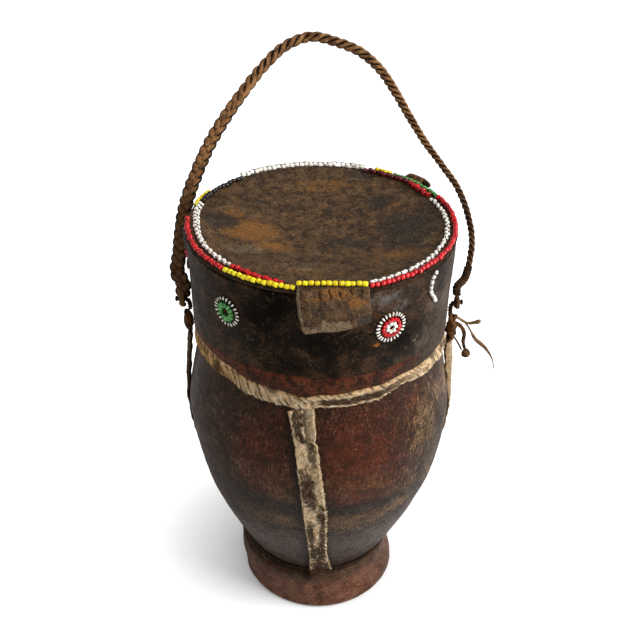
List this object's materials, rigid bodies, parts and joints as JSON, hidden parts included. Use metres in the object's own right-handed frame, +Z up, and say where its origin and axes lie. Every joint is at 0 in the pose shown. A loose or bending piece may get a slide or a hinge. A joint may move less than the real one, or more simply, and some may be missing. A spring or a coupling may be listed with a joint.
{
  "type": "carved wooden medicine container with beaded leather cap",
  "caption": "Waisted carved wood vessel on a round foot with a lift-off leather cap edged in glass beads, pull tabs, a hide strap harness and a braided leather carrying handle.",
  "frame": {"origin": "centre of the foot's flat underside", "axes": "+Z up along the vessel's axis, -Y towards the front strap and the front tab, +X towards the loose thong ends"},
  "size_m": [0.1972, 0.207, 0.3333],
  "materials": {
    "wood": "hand-carved, oiled and red-ochred, worn",
    "cap_leather": "dark, scuffed, with a red-brown lower band",
    "top_leather": "brown, mottled and worn",
    "hide": "hide with short hair, cream and tan",
    "braid_leather": "braided, greasy and polished by hands",
    "thong_leather": "dry dark thong",
    "beads_red": "opaque glossy glass",
    "beads_dark_red": "opaque glossy glass",
    "beads_yellow": "opaque glossy glass",
    "beads_white": "opaque glossy glass",
    "beads_green": "opaque glossy glass",
    "beads_black": "opaque glossy glass"
  },
  "bodies": {
    "root": {"wooden_vessel": "wood", "ring_strap": "hide", "waist_thong": "thong_leather", "front_strap": "hide", "front_strap_fold": "hide", "rear_strap": "hide", "left_strap": "hide", "right_strap": "hide", "left_knot": "thong_leather", "right_knot": "thong_leather", "left_lashing": "thong_leather", "right_lashing": "thong_leather", "right_tail_short": "thong_leather", "right_tail_long": "thong_leather", "right_loop_thong": "thong_leather", "right_loop_return": "thong_leather", "right_ball_knot": "thong_leather"},
    "cap": {"cap_wall": "cap_leather", "cap_top": "top_leather", "outer_beads_red_left": "beads_red", "outer_beads_yellow_front": "beads_yellow", "outer_beads_red_right": "beads_red", "outer_beads_green": "beads_green", "outer_beads_yellow_rear_right": "beads_yellow", "outer_beads_white_rear_right": "beads_white", "outer_beads_white_rear": "beads_white", "outer_beads_yellow_rear_left": "beads_yellow", "inner_beads_black": "beads_black", "inner_beads_white_left": "beads_white", "inner_beads_white_front_left": "beads_white", "inner_beads_red_front": "beads_red", "inner_beads_white_right": "beads_white", "inner_beads_bright_red": "beads_red", "inner_beads_dark_red": "beads_dark_red", "wall_arc_white": "beads_white", "side_string_black": "beads_black", "side_string_red": "beads_red", "side_string_tag": "thong_leather", "green_rosette_ring": "beads_green", "green_rosette_fringe": "beads_white", "red_rosette_centre_ring": "beads_white", "red_rosette_ring": "beads_red", "red_rosette_fringe": "beads_white"},
    "handle": {"handle_braid": "braid_leather", "handle_binding": "thong_leather", "handle_loop_left": "braid_leather", "handle_loop_right": "braid_leather"},
    "front_flap": {"front_tab": "top_leather", "front_tab_beads": "beads_yellow"},
    "rear_flap": {"rear_tab": "top_leather"}
  },
  "joints": [
    {"name": "cap_lift", "type": "slide", "parent": "root", "child": "cap", "axis": [0, 0, 1], "range_m": [0, 0.064]},
    {"name": "handle_swing", "type": "hinge", "parent": "root", "child": "handle", "pos_m": [0, 0, 0.209], "axis": [-1, 0, 0], "range_deg": [-130, 45]},
    {"name": "front_tab_flap", "type": "hinge", "parent": "cap", "child": "front_flap", "pos_m": [0.0059, -0.0704, 0.2617], "axis": [-1, 0, 0], "range_deg": [0, 80]},
    {"name": "rear_tab_flap", "type": "hinge", "parent": "cap", "child": "rear_flap", "pos_m": [0.05464, 0.05369, 0.2611], "axis": [0.7009, -0.7133, 0], "range_deg": [0, 45]}
  ]
}
